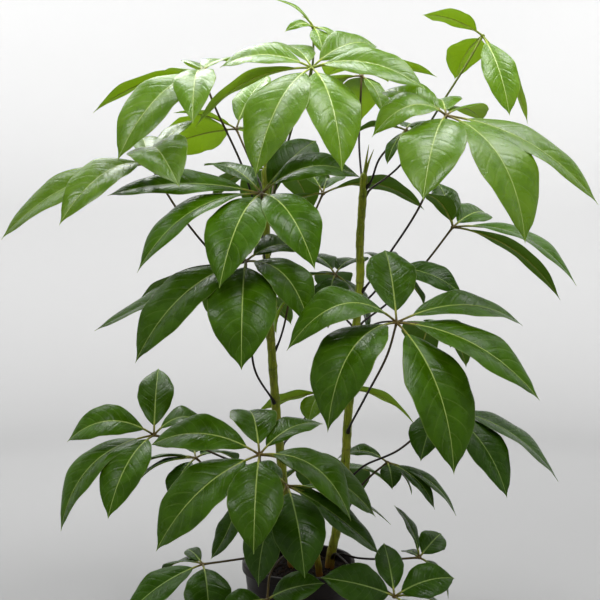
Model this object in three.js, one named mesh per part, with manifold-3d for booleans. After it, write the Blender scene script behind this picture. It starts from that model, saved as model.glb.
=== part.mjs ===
// Potted umbrella plant: two tall woody canes and a low stem in a nursery pot, with compound leaves all round.
// Millimetres, +Z up. The origin is the centre of the pot's underside. -Y is the front.
import * as THREE from 'three';
import { mergeVertices } from 'three/addons/utils/BufferGeometryUtils.js';
import Module from 'manifold-3d';

const wasm = await Module();
wasm.setup();

// ---- driving dimensions ----

const potHeight = 185;
const potRimRadius = 100;
const potMouthRadius = 96;
const potFootRadius = 80;
const potWall = 2;
const potLipDepth = 14;
const potFootBevel = 4;
const potLipBevel = 2;
const potSides = 28;
const drainRadius = 5;
const drainCircle = 52;
const drainCount = 8;

const soilTop = 165;
const soilCrown = 5;
const fitGap = 0.3;

// A cane's axis, from its foot in the soil to its growing tip, and its radius at the foot and below the tip.
const canes = {
  cane_left: {
    axis: [[0, 12, 60], [-12, 10, 185], [-27, 6, 325], [-39, 2, 450], [-48, 0, 570], [-55, 0, 700], [-57, 0, 815], [-57, 0, 880]],
    foot: 8.6,
    top: 6.8,
    spikes: [[-5, -3, 30], [6, 4, 24]],
  },
  cane_right: {
    axis: [[48, 10, 60], [57, 8, 185], [68, 4, 240], [81, 0, 340], [88, 0, 453], [100, 0, 590], [108, 0, 692], [107, 0, 745],
      [111, 0, 815], [114, 0, 870]],
    foot: 8.6,
    top: 6.8,
    spikes: [[8, -2, 48], [17, 3, 40]],
  },
  cane_low: {
    axis: [[40, -34, 70], [37, -36, 165], [28, -44, 225], [8, -56, 290]],
    foot: 6.5,
    top: 5,
    spikes: [[-4, -3, 16]],
  },
};
const caneSides = 8;
const scarSpacing = 75;
const scarSwell = 0.6;
const caneTipTaper = 2;
const spikeRoot = 8;
const spikeRadius = 3.4;
const spikeTipRadius = 0.6;
const spikeBow = 3;

const petioleRadius = 2.6;
const petioleFootRadius = 4.2;
const hubRadius = 7.5;
const hubSink = 2.4;
const petioleFootReach = 8;
const petioleSides = 5;
const petioleStep = 62;

const bladeThickness = 0.9;
const petioluleShare = 0.11;
const petioluleHalfWidth = 2.2;
const petioluleHalfDepth = 1.7;
const bladeFold = 0.16;
const bladeCurl = 0.1;
const waveHeight = 0.09;
const waveTurns = 2.2;
const wavePhaseAcross = 1.3;
const wavePhaseStep = 2.4;
const bladeStations = [0.18, 0.4, 0.62, 0.83];
const smallBladeStations = [0.2, 0.48, 0.76];
const smallHalfWidth = 43;

// ---- leaves ----
// Each leaf grows from a cane at a height, passes the points of its route and ends at its hub.
// A leaflet is [right, back, up] from the hub to its tip, half-width, arch of the midrib above that line, and
// roll in degrees, which turns its upper face to the right-hand side as seen from the hub.

const leaves = [
  { name: 'leaf_young_top', tone: 'fresh', cane: 'cane_left', height: 862, route: [[-20, 6, 935], [22, 2, 1040]], hub: [26, 10, 1120],
    leaflets: [
      [-65, -30, 40, 9, 10, -40],
      [-50, -30, -14, 11, 12, -45],
      [16, -36, -52, 17, 8, 10],
      [40, -8, -30, 13, 10, 25],
      [-20, 10, 22, 5, 3, 0],
    ] },
  { name: 'leaf_top_right', tone: 'fresh', cane: 'cane_right', height: 832, route: [[180, 34, 885], [266, 26, 1015], [295, 20, 1062]],
    hub: [321, 20, 1108],
    leaflets: [
      [-112, -50, 24, 30, 12, 8],
      [-34, 90, -60, 35, 15, 6],
      [36, -60, -146, 32, 16, 20],
      [78, -10, -153, 28, 12, -10],
    ] },
  { name: 'leaf_crown', tone: 'fresh', cane: 'cane_left', height: 812, route: [[-22, -24, 905], [-8, -42, 950], [8, -62, 990]],
    hub: [22, -80, 1035],
    leaflets: [
      [-88, -120, -187, 50, 37, -15],
      [45, -120, -179, 44, 35, 5],
      [180, -60, -45, 38, 30, 42],
      [215, 60, -5, 36, 18, 0],
      [112, 60, 46, 36, 24, 40],
      [-60, 120, 57, 34, 15, 0],
      [-155, 40, 7, 36, 24, -38],
      [-190, -20, -100, 34, 30, 10],
    ] },
  { name: 'leaf_crown_left', tone: 'fresh', cane: 'cane_left', height: 790, route: [[-99, -16, 885], [-142, -36, 979]],
    hub: [-161, -60, 1032],
    leaflets: [
      [-182, 0, -68, 34, 18, 4],
      [-120, -120, -158, 42, 35, -28],
      [-80, 110, -15, 32, 14, 0],
      [-20, 130, 24, 32, 14, 0],
      [48, 110, 34, 30, 12, 0],
      [2, -160, -106, 33, 30, 4],
    ] },
  { name: 'leaf_crown_right', tone: 'fresh', cane: 'cane_right', height: 665, route: [[155, -30, 728], [203, -60, 808], [232, -95, 890]],
    hub: [238, -120, 952],
    leaflets: [
      [-54, -140, -143, 52, 28, -4],
      [102, -120, -206, 58, 46, 10],
      [235, -40, -145, 44, 31, 30],
      [84, 140, 8, 34, 18, 0],
      [5, 150, 40, 36, 16, 0],
      [-97, 100, 52, 32, 16, -30],
      [-122, -30, -38, 36, 38, -38],
    ] },
  { name: 'leaf_back_left_high', tone: 'fresh', cane: 'cane_left', height: 835, route: [[-80, 40, 880]], hub: [-113, 80, 954],
    leaflets: [
      [-150, 50, -34, 44, 15, 45],
      [-110, -30, 25, 28, 10, 0],
      [58, 80, 110, 36, 12, 0],
      [60, 140, -20, 36, 15, 0],
    ] },
  { name: 'leaf_left_high', tone: 'fresh', cane: 'cane_left', height: 655, route: [[-110, -40, 690], [-160, -60, 747], [-200, -70, 800]],
    hub: [-250, -60, 880],
    leaflets: [
      [-250, 0, -127, 42, 32, -38],
      [-118, -140, -106, 37, 38, -25],
      [72, -170, -50, 48, 46, 20],
      [60, 150, 92, 22, 12, 0],
      [-40, 150, 60, 28, 14, 0],
    ] },
  { name: 'leaf_inner_right_high', tone: 'full', cane: 'cane_right', height: 845, route: [[140, -10, 893]], hub: [184, -20, 940],
    leaflets: [
      [-36, -45, -62, 14, 8, 0],
      [-90, 30, -5, 28, 14, 0],
      [30, 90, 10, 28, 12, 0],
      [70, -10, -60, 28, 14, 0],
    ] },
  { name: 'leaf_back_right_high', tone: 'fresh', cane: 'cane_right', height: 850, route: [[108, 50, 930]], hub: [114, 80, 1049],
    leaflets: [
      [35, -40, -75, 24, 12, 0],
      [60, 130, 10, 38, 20, 0],
      [-60, 130, 20, 38, 20, 0],
      [10, 160, -60, 38, 20, 0],
      [-90, 60, -40, 32, 16, 0],
    ] },
  { name: 'leaf_right_high', tone: 'full', cane: 'cane_right', height: 600, route: [[160, 44, 640], [220, 40, 704]], hub: [269, 0, 775],
    leaflets: [
      [200, -60, -100, 40, 38, 14],
      [200, 40, -130, 25, 32, -16],
      [75, 80, 24, 32, 16, 30],
      [-57, -50, 56, 26, 14, 0],
      [-18, 70, 82, 26, 10, 0],
    ] },
  { name: 'leaf_back_high', tone: 'full', cane: 'cane_left', height: 730, route: [[0, 40, 750]], hub: [44, 60, 836],
    leaflets: [
      [188, 40, -28, 36, 36, -15],
      [-60, 120, 60, 34, 16, 0],
      [20, 150, 30, 34, 16, 0],
      [-100, 80, -60, 34, 20, 0],
    ] },
  { name: 'leaf_front_high', tone: 'full', cane: 'cane_left', height: 690, route: [[-60, -90, 760]], hub: [-59, -130, 826],
    leaflets: [
      [-248, 0, -3, 42, 20, -30],
      [-186, -90, -124, 44, 38, -14],
      [-57, -140, -146, 46, 34, -10],
      [84, -110, -119, 42, 36, 20],
      [90, 125, 98, 36, 16, 32],
      [163, 30, 26, 38, 38, 36],
      [-105, 125, 55, 34, 18, -5],
    ] },
  { name: 'leaf_front_left_middle', tone: 'full', cane: 'cane_left', height: 470, route: [[-74, -56, 532], [-80, -112, 630]],
    hub: [-84, -150, 718],
    leaflets: [
      [-244, 10, -112, 41, 6, -18],
      [-162, -90, -152, 49, 36, -24],
      [0, -120, -159, 53, 36, 0],
      [102, -70, -103, 40, 42, 20],
      [98, 72, 10, 32, 24, 25],
      [-190, 105, -72, 36, 14, 0],
      [-32, 130, 8, 26, 14, 0],
    ] },
  { name: 'leaf_small_middle', tone: 'fresh', cane: 'cane_left', height: 560, route: [[-26, 14, 600]], hub: [-15, 24, 656],
    leaflets: [
      [18, 20, -38, 18, 8, 0],
      [-25, 15, -72, 20, 8, -20],
      [30, 70, 20, 20, 8, 0],
    ] },
  { name: 'leaf_front_right_middle', tone: 'full', cane: 'cane_right', height: 418, route: [[110, -90, 488], [140, -180, 573]],
    hub: [150, -220, 626],
    leaflets: [
      [-167, -50, -38, 44, 58, -28],
      [-108, -110, -148, 54, 54, -8],
      [72, -110, -209, 56, 36, 4],
      [205, -60, -110, 44, 32, 25],
      [206, 60, -10, 40, 34, 25],
      [-8, 125, 110, 40, 16, 0],
    ] },
  { name: 'leaf_right_middle_small', tone: 'deep', cane: 'cane_right', height: 640, route: [[135, -6, 665]], hub: [159, -10, 702],
    leaflets: [
      [122, -30, -44, 34, 18, 32],
      [62, 20, -66, 30, 12, 10],
      [-20, 120, 20, 30, 14, 0],
    ] },
  { name: 'leaf_back_middle', tone: 'deep', cane: 'cane_right', height: 590, route: [[80, 60, 620]], hub: [68, 110, 689],
    leaflets: [
      [-15, -70, -95, 38, 22, 0],
      [-60, 110, 30, 34, 16, 0],
      [60, 90, 20, 34, 16, 0],
      [0, 170, -60, 38, 24, 0],
      [60, 0, -112, 36, 20, 20],
      [-110, 60, -50, 36, 20, 0],
    ] },
  { name: 'leaf_back_low', tone: 'fresh', cane: 'cane_left', height: 380, route: [[0, 70, 410]], hub: [44, 110, 469],
    leaflets: [
      [-121, 0, -38, 34, 8, 25],
      [-25, -40, -50, 26, 10, 0],
      [171, -30, -57, 34, 30, -22],
      [40, 160, -15, 36, 20, 0],
    ] },
  { name: 'leaf_right_low', tone: 'deep', cane: 'cane_right', height: 330, route: [[116, -6, 356], [175, -30, 390]], hub: [247, -60, 466],
    leaflets: [
      [196, 0, -125, 42, 28, 16],
      [92, -80, -132, 42, 25, 12],
      [-50, -90, -70, 34, 16, 0],
      [45, 130, -35, 36, 20, 0],
    ] },
  { name: 'leaf_right_low_small', tone: 'deep', cane: 'cane_right', height: 270, route: [[104, 4, 308], [130, 8, 336]], hub: [158, 10, 358],
    leaflets: [
      [-90, 30, -2, 26, 20, -10],
      [5, -45, -36, 19, 8, 0],
      [83, -10, -82, 21, 18, 25],
      [45, 15, -62, 18, 10, 20],
      [126, 20, -102, 19, 22, 25],
    ] },
  { name: 'leaf_left_low', tone: 'full', cane: 'cane_left', height: 330, route: [[-127, -24, 373], [-186, -36, 401]], hub: [-249, -40, 417],
    leaflets: [
      [-6, 100, 103, 32, 14, 0],
      [-145, -20, -8, 35, 47, -40],
      [-145, -70, -147, 41, 48, -14],
      [-57, -120, -113, 39, 32, -10],
      [95, 30, 0, 32, 33, 20],
    ] },
  { name: 'leaf_back_left_low', tone: 'deep', cane: 'cane_left', height: 235, route: [[-70, 66, 262], [-134, 86, 302]], hub: [-188, 60, 355],
    leaflets: [
      [-127, 0, -27, 26, 16, 10],
      [-114, -20, -54, 24, 20, 5],
      [-37, -45, -72, 28, 14, 0],
      [-30, 130, -10, 34, 18, 0],
      [70, 100, -30, 32, 16, 0],
    ] },
  { name: 'leaf_left_low_small', tone: 'deep', cane: 'cane_left', height: 262, route: [[-66, 8, 280]], hub: [-106, 10, 301],
    leaflets: [
      [-48, -30, -108, 27, -10, -10],
      [-60, 10, -20, 24, 10, 20],
      [8, 50, -40, 20, 8, 0],
    ] },
  { name: 'leaf_front_low', tone: 'full', cane: 'cane_left', height: 250, route: [[-58, -90, 300], [-60, -170, 380]], hub: [-60, -210, 420],
    leaflets: [
      [-172, 20, 10, 38, 36, -34],
      [-151, -70, -130, 47, 34, -28],
      [-4, -115, -120, 42, 28, 0],
      [139, -50, -90, 42, 42, 15],
      [180, 0, -98, 38, 30, 30],
      [-26, 120, 46, 38, 26, 0],
      [100, 85, 32, 32, 20, 10],
    ] },
  { name: 'leaf_front_low_inner', tone: 'deep', cane: 'cane_low', height: 275, route: [[-10, -96, 315]], hub: [-18, -130, 351],
    leaflets: [
      [28, -105, -118, 43, 26, 5],
      [-45, -60, -147, 38, 24, -5],
      [65, 30, -62, 26, 14, -20],
      [171, 20, -70, 22, 20, 0],
      [150, -20, -108, 38, 10, 14],
      [-90, 70, 10, 32, 18, 0],
    ] },
  { name: 'leaf_right_base', tone: 'deep', cane: 'cane_right', height: 189, route: [[105, -4, 190], [160, -14, 191]], hub: [212, -20, 196],
    leaflets: [
      [-41, 40, 82, 22, 10, 20],
      [47, 60, 25, 25, 8, 30],
      [-25, 50, -5, 14, 5, 0],
      [50, -10, -70, 26, 14, 0],
    ] },
  { name: 'leaf_front_right_base', tone: 'deep', cane: 'cane_right', height: 192, route: [[90, -64, 194], [125, -112, 186]], hub: [156, -150, 174],
    leaflets: [
      [-121, -45, 47, 33, 16, -60],
      [-11, 80, 64, 24, 8, 0],
      [100, 15, 25, 30, 24, 45],
      [105, 40, -55, 22, 18, 0],
      [50, -80, -60, 32, 18, 0],
    ] },
  { name: 'leaf_front_base', tone: 'deep', cane: 'cane_low', height: 222, route: [[-10, -92, 232], [-44, -134, 212]], hub: [-50, -170, 176],
    leaflets: [
      [92, -20, 34, 26, 14, 45],
      [-75, -15, -20, 26, 14, -40],
      [10, -70, -90, 34, 18, 0],
      [-60, -50, -80, 32, 16, -10],
    ] },
  { name: 'leaf_left_base', tone: 'deep', cane: 'cane_left', height: 191, route: [[-104, -10, 190]], hub: [-168, -20, 184],
    leaflets: [
      [-131, -45, -80, 36, 16, -22],
      [20, -95, -95, 40, 32, 0],
      [-36, 70, 4, 14, 8, -20],
      [-80, 70, -40, 28, 14, 0],
    ] },
  { name: 'leaf_rear_high', tone: 'full', cane: 'cane_left', height: 775, route: [[-50, 110, 830]], hub: [-45, 190, 890],
    leaflets: [
      [-130, 80, -60, 38, 26, 0],
      [-50, 150, -90, 42, 30, 0],
      [70, 140, -80, 42, 30, 0],
      [110, 60, -30, 36, 24, 0],
    ] },
  { name: 'leaf_rear_middle', tone: 'full', cane: 'cane_left', height: 590, route: [[-90, 110, 612]], hub: [-115, 190, 640],
    leaflets: [
      [-130, 60, -40, 38, 28, 0],
      [-60, 135, -60, 42, 30, 0],
      [20, 150, -110, 42, 30, 0],
      [100, 100, -60, 38, 24, 0],
    ] },
  { name: 'leaf_rear_right', tone: 'full', cane: 'cane_right', height: 562, route: [[140, 70, 600]], hub: [256, 190, 590],
    leaflets: [
      [78, 40, -90, 34, 20, 0],
      [60, 125, -60, 40, 26, 0],
      [-10, 140, -70, 40, 26, 0],
      [-10, 70, -110, 34, 20, 0],
    ] },
  { name: 'leaf_rear_low', tone: 'deep', cane: 'cane_right', height: 215, route: [[70, 110, 250]], hub: [60, 190, 300],
    leaflets: [
      [-110, 70, -60, 36, 26, 0],
      [-40, 140, -80, 40, 30, 0],
      [70, 130, -80, 40, 30, 0],
      [130, 50, -50, 36, 24, 0],
    ] },
];

// ---- solids ----

const up = new THREE.Vector3(0, 0, 1);
const vector = (point) => new THREE.Vector3(...point);

// A closed manifold solid from a three.js geometry.
function solidFrom(geometry) {
  const bare = geometry.clone();
  bare.deleteAttribute('normal');
  bare.deleteAttribute('uv');
  const merged = mergeVertices(bare, 1e-4);
  return new wasm.Manifold(new wasm.Mesh({
    numProp: 3,
    vertProperties: new Float32Array(merged.attributes.position.array),
    triVerts: new Uint32Array(merged.index.array),
  }));
}

// A solid through rings of points, each ring turning from the first axis to the second about the way it travels.
// It ends in a flat cap, or in the apex if there is one. Each side is split from its first corner in one ring to its
// second corner in the next, or the other way round if it is one of the turned sides.
function loft(rings, apex, turnedSides = []) {
  const count = rings[0].length;
  const points = rings.flat();
  const triangles = [];
  for (let ring = 0; ring < rings.length - 1; ring++) {
    for (let i = 0; i < count; i++) {
      const here = ring * count + i;
      const next = ring * count + (i + 1) % count;
      if (turnedSides.includes(i)) triangles.push(here, next, here + count, next, next + count, here + count);
      else triangles.push(here, next, next + count, here, next + count, here + count);
    }
  }
  const last = (rings.length - 1) * count;
  for (let i = 1; i < count - 1; i++) {
    triangles.push(0, i + 1, i);
    if (!apex) triangles.push(last, last + i, last + i + 1);
  }
  if (apex) {
    points.push(apex);
    for (let i = 0; i < count; i++) triangles.push(last + i, last + (i + 1) % count, points.length - 1);
  }
  const geometry = new THREE.BufferGeometry().setFromPoints(points);
  geometry.setIndex(triangles);
  return solidFrom(geometry);
}

// A round stem along a curve. Its radius at each share of the way is radiusAt(share). The first ring's corners start
// from any direction across the curve, and each later ring keeps the one before as nearly as it can.
function stem(curve, steps, sides, radiusAt) {
  const rings = [];
  let across = null;
  for (let step = 0; step <= steps; step++) {
    const share = step / steps;
    const centre = curve.getPointAt(share);
    const along = curve.getTangentAt(share);
    across = across ?? new THREE.Vector3(1, 0.3, 0).cross(along);
    across = across.clone().addScaledVector(along, -across.dot(along)).normalize();
    const other = along.clone().cross(across);
    const ring = [];
    for (let side = 0; side < sides; side++) {
      const angle = 2 * Math.PI * side / sides;
      ring.push(centre.clone()
        .addScaledVector(across, radiusAt(share) * Math.cos(angle))
        .addScaledVector(other, radiusAt(share) * Math.sin(angle)));
    }
    rings.push(ring);
  }
  return loft(rings);
}

const turned = (profile) => solidFrom(new THREE.LatheGeometry(profile.map((p) => new THREE.Vector2(...p)), potSides)
  .rotateX(Math.PI / 2));

// ---- pot and soil ----

// The pot's outer radius on its tapering wall at a height.
const wallRadius = (z) => THREE.MathUtils.lerp(potFootRadius, potMouthRadius, z / potHeight);

function potSolid() {
  const lipFoot = potHeight - potLipDepth;
  let solid = turned([
    [0, 0],
    [potFootRadius - potFootBevel, 0],
    [potFootRadius, potFootBevel],
    [wallRadius(lipFoot), lipFoot],
    [potRimRadius - potLipBevel / 2, lipFoot + potLipBevel / 2],
    [potRimRadius, potHeight - potLipBevel],
    [potRimRadius - potLipBevel, potHeight],
    [potMouthRadius - potWall, potHeight],
    [wallRadius(lipFoot) - potWall, lipFoot],
    [potFootRadius - potWall, 3 * potWall],
    [potFootRadius - 3 * potWall, potWall],
    [0, potWall],
  ]);
  for (let hole = 0; hole < drainCount; hole++) {
    const angle = 2 * Math.PI * hole / drainCount;
    const cutter = new THREE.CylinderGeometry(drainRadius, drainRadius, 4 * potWall, 8).rotateX(Math.PI / 2);
    cutter.translate(drainCircle * Math.cos(angle), drainCircle * Math.sin(angle), 0);
    solid = solid.subtract(solidFrom(cutter));
  }
  return solid;
}

function soilSolid(holes) {
  const clear = potWall + fitGap;
  let solid = turned([
    [0, potWall + fitGap],
    [potFootRadius - 3 * potWall - 2 * fitGap, potWall + fitGap],
    [potFootRadius - clear - fitGap, 3 * potWall + fitGap],
    [wallRadius(soilTop) - clear - fitGap, soilTop],
    [0.6 * potMouthRadius, soilTop + 0.7 * soilCrown],
    [0, soilTop + soilCrown],
  ]);
  for (const hole of holes) solid = solid.subtract(hole);
  return solid;
}

// ---- canes ----

const axisOf = (cane) => new THREE.CatmullRomCurve3(cane.axis.map(vector));

// A cane, swollen at every other ring by a leaf scar, or with extra clearance the hole that it stands in.
function caneSolid(cane, extra = 0) {
  const axis = axisOf(cane);
  const steps = 2 * Math.round(axis.getLength() / scarSpacing);
  const radiusAt = (share) => {
    const step = Math.round(share * steps);
    const taper = THREE.MathUtils.lerp(cane.foot, cane.top, share);
    return taper + (step % 2 ? scarSwell : 0) - (step === steps ? caneTipTaper : 0) + extra;
  };
  return stem(axis, steps, caneSides, radiusAt);
}

// The growing tip: dry pointed sheaths round the cane's end.
function spikeSolids(cane) {
  const tip = vector(cane.axis.at(-1));
  return cane.spikes.map((offset) => {
    const foot = tip.clone().addScaledVector(up, -spikeRoot);
    const end = tip.clone().add(vector(offset));
    const middle = foot.clone().lerp(end, 0.5).addScaledVector(up, spikeBow);
    const curve = new THREE.CatmullRomCurve3([foot, middle, end]);
    return stem(curve, 3, petioleSides, (share) => THREE.MathUtils.lerp(spikeRadius, spikeTipRadius, share));
  });
}

// Where a petiole leaves a cane at a height towards a point: on the bark, and the way it faces.
function footOn(cane, height, towards) {
  const axis = axisOf(cane);
  let low = 0;
  let high = 1;
  for (let pass = 0; pass < 30; pass++) {
    const middle = (low + high) / 2;
    if (axis.getPointAt(middle).z < height) low = middle;
    else high = middle;
  }
  const centre = axis.getPointAt(low);
  const along = axis.getTangentAt(low);
  const facing = towards.clone().sub(centre);
  facing.addScaledVector(along, -facing.dot(along)).normalize();
  const radius = THREE.MathUtils.lerp(cane.foot, cane.top, low) + scarSwell + fitGap;
  return { start: centre.addScaledVector(facing, radius), facing };
}

// ---- leaves ----

// Half-width of a blade at a share of its length, for a greatest half-width of 1: an ellipse with a drawn-out tip.
const bladeOutline = (u) => Math.sin(Math.PI * u ** 0.92) ** 0.8 * (1 - 0.5 * u ** 8);

// A leaflet: its short stalk and its folded, waved blade, lofted as one thin arched solid from the hub to the tip.
function leafletSolid(hub, leaflet, phase) {
  const [right, back, rise, halfWidth, arch, roll] = leaflet;
  const reach = new THREE.Vector3(right, back, rise);
  const along = reach.clone().normalize();
  const normal = up.clone().addScaledVector(along, -up.dot(along)).normalize();
  normal.applyAxisAngle(along, THREE.MathUtils.degToRad(roll));
  const midribAt = (s) => hub.clone().addScaledVector(reach, s).addScaledVector(normal, 4 * arch * s * (1 - s));

  const ringAt = (s, width, depth, lift) => {
    const tangent = reach.clone().addScaledVector(normal, 4 * arch * (1 - 2 * s)).normalize();
    const top = normal.clone().addScaledVector(tangent, -normal.dot(tangent)).normalize();
    const side = tangent.clone().cross(top);
    const place = (across, height) => midribAt(s).addScaledVector(side, across).addScaledVector(top, height);
    return [
      place(0, depth), place(width, lift(1) + depth), place(width, lift(1) - depth),
      place(0, -depth), place(-width, lift(-1) - depth), place(-width, lift(-1) + depth),
    ];
  };

  const flat = () => 0;
  const insideHub = (hubRadius - hubSink) / Math.hypot(reach.length(), 4 * arch);
  const rings = [
    ringAt(insideHub, petioluleHalfWidth, petioluleHalfDepth, flat),
    ringAt(petioluleShare, petioluleHalfWidth, petioluleHalfDepth, flat),
  ];
  for (const u of halfWidth < smallHalfWidth ? smallBladeStations : bladeStations) {
    const width = halfWidth * bladeOutline(u);
    const wave = (v) => waveHeight * halfWidth * Math.sin(Math.PI * u)
      * Math.sin(2 * Math.PI * waveTurns * u + phase + wavePhaseAcross * v);
    const lift = (v) => width * (bladeFold - bladeCurl) + wave(v);
    rings.push(ringAt(petioluleShare + (1 - petioluleShare) * u, width, bladeThickness / 2, lift));
  }
  // Both faces of the blade are split from the midrib out to the margin, so that they stay the same distance apart.
  const towardsMidrib = [2, 5];
  return loft(rings, midribAt(1), towardsMidrib);
}

function petioleSolid(leaf) {
  const route = [...leaf.route, leaf.hub].map(vector);
  const { start, facing } = footOn(canes[leaf.cane], leaf.height, route[0]);
  const curve = new THREE.CatmullRomCurve3([start, start.clone().addScaledVector(facing, petioleFootReach), ...route]);
  const steps = Math.max(4, Math.round(curve.getLength() / petioleStep));
  return stem(curve, steps, petioleSides, (share) => (share === 0 ? petioleFootRadius : petioleRadius));
}

function leafSolid(leaf) {
  const hub = vector(leaf.hub);
  const ball = solidFrom(new THREE.IcosahedronGeometry(hubRadius).translate(...leaf.hub));
  const leaflets = leaf.leaflets.map((leaflet, index) => leafletSolid(hub, leaflet, wavePhaseStep * index));
  return wasm.Manifold.union([petioleSolid(leaf), ball, ...leaflets]);
}

// ---- the plant ----

const finishes = {
  potPlastic: new THREE.MeshStandardMaterial({ color: '#1d1716', roughness: 0.45, metalness: 0 }),
  soil: new THREE.MeshStandardMaterial({ color: '#1a1310', roughness: 0.95, metalness: 0 }),
  bark: new THREE.MeshStandardMaterial({ color: '#6a7d22', roughness: 0.6, metalness: 0 }),
  fresh: new THREE.MeshStandardMaterial({ color: '#6fae2c', roughness: 0.35, metalness: 0, side: THREE.DoubleSide }),
  full: new THREE.MeshStandardMaterial({ color: '#2f6f1c', roughness: 0.32, metalness: 0, side: THREE.DoubleSide }),
  deep: new THREE.MeshStandardMaterial({ color: '#1f4d12', roughness: 0.32, metalness: 0, side: THREE.DoubleSide }),
};

function meshOf(name, solid, finish) {
  const { vertProperties, triVerts } = solid.getMesh();
  const geometry = new THREE.BufferGeometry();
  geometry.setAttribute('position', new THREE.BufferAttribute(vertProperties, 3));
  geometry.setIndex(new THREE.BufferAttribute(triVerts, 1));
  geometry.computeVertexNormals();
  const mesh = new THREE.Mesh(geometry, finish);
  mesh.name = name;
  return mesh;
}

const plant = new THREE.Group();
plant.add(meshOf('pot', potSolid(), finishes.potPlastic));
plant.add(meshOf('soil', soilSolid(Object.values(canes).map((cane) => caneSolid(cane, fitGap))), finishes.soil));
for (const [name, cane] of Object.entries(canes)) {
  plant.add(meshOf(name, wasm.Manifold.union([caneSolid(cane), ...spikeSolids(cane)]), finishes.bark));
}
for (const leaf of leaves) plant.add(meshOf(leaf.name, leafSolid(leaf), finishes[leaf.tone]));

export default plant;
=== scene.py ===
import math

import bpy
import numpy as np
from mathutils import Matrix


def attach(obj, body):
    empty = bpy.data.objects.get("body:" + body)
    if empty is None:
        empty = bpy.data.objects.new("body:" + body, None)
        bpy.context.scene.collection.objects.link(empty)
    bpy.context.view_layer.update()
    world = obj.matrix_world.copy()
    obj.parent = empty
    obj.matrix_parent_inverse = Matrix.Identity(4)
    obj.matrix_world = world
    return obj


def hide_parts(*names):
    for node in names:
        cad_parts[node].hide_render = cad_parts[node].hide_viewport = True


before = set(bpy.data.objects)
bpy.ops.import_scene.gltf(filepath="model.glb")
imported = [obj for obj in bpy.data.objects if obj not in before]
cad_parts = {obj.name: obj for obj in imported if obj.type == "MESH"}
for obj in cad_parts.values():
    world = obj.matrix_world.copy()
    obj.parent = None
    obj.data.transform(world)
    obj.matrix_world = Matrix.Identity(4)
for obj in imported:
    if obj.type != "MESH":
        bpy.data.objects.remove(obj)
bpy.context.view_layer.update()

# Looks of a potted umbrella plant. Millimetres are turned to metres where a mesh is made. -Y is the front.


# ---- pot ----
# A round nursery pot, a thin-walled taper with a stepped lip, injection moulded in one piece from black-brown
# polypropylene. It has eight drain holes and stands on its flat underside.

pot_height = 185
pot_rim_radius = 100
pot_mouth_radius = 96
pot_foot_radius = 80
pot_wall = 2
pot_lip_depth = 14
pot_edge_round = 1.4
pot_shoulder_drop = 26
pot_shoulder_step = 0.7
drain_radius = 5
drain_circle = 52
drain_count = 8
pot_foot_bevel = 4
pot_chamfer = 1
pot_lip_chamfer = 0.6
pot_shoulder_rise = 1.5
pot_around = 120
drain_around = 24
crease_angle = 40
pole_ring = 1
pot_grain = 1.111
pot_smear = 35.71


def linear(hex_colour):
    """An sRGB hex colour as linear red, green, blue and alpha."""
    srgb = np.array([int(hex_colour[i:i + 2], 16) for i in (1, 3, 5)]) / 255
    return (*np.where(srgb <= 0.04045, srgb / 12.92, ((srgb + 0.055) / 1.055) ** 2.4), 1.0)


def add(tree, kind, inputs=(), **settings):
    """Adds a shader node with its settings. Each input is a value, or the output that feeds it."""
    node = tree.nodes.new("ShaderNode" + kind)
    for setting, value in settings.items():
        setattr(node, setting, value)
    for socket, value in dict(inputs).items():
        if isinstance(value, bpy.types.NodeSocket):
            tree.links.new(value, node.inputs[socket])
        else:
            node.inputs[socket].default_value = value
    return node


def new_finish(name):
    """An empty node material and its tree."""
    material = bpy.data.materials.new(name)
    material.use_nodes = True
    material.node_tree.nodes.clear()
    return material, material.node_tree


def skin(rings, **maps):
    """A closed surface over rings of points (rings x points x 3). Quads join each ring to the next, and a fan
    to its middle closes each end. A ring turns right-handed about the way the rings travel, so that the
    outside is out. Each map gives two numbers to every point, for the material."""
    count, around = rings.shape[:2]
    here = np.arange((count - 1) * around)
    after = here - here % around + (here + 1) % around
    quads = np.stack([here, after, after + around, here + around], axis=1)
    first = np.arange(around)
    last = first + (count - 1) * around
    start, end = np.full(around, count * around), np.full(around, count * around + 1)
    fans = np.vstack([np.stack([start, np.roll(first, -1), first], axis=1),
                      np.stack([end, last, np.roll(last, -1)], axis=1)])

    def spread(grid):
        """The grid's points one after another, then the middles of its first and last ring."""
        return np.vstack([grid.reshape(-1, grid.shape[2]), grid[0].mean(axis=0), grid[-1].mean(axis=0)])

    return {"points": spread(rings), "quads": quads, "fans": fans,
            "maps": {key: spread(grid) for key, grid in maps.items()}}


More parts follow.
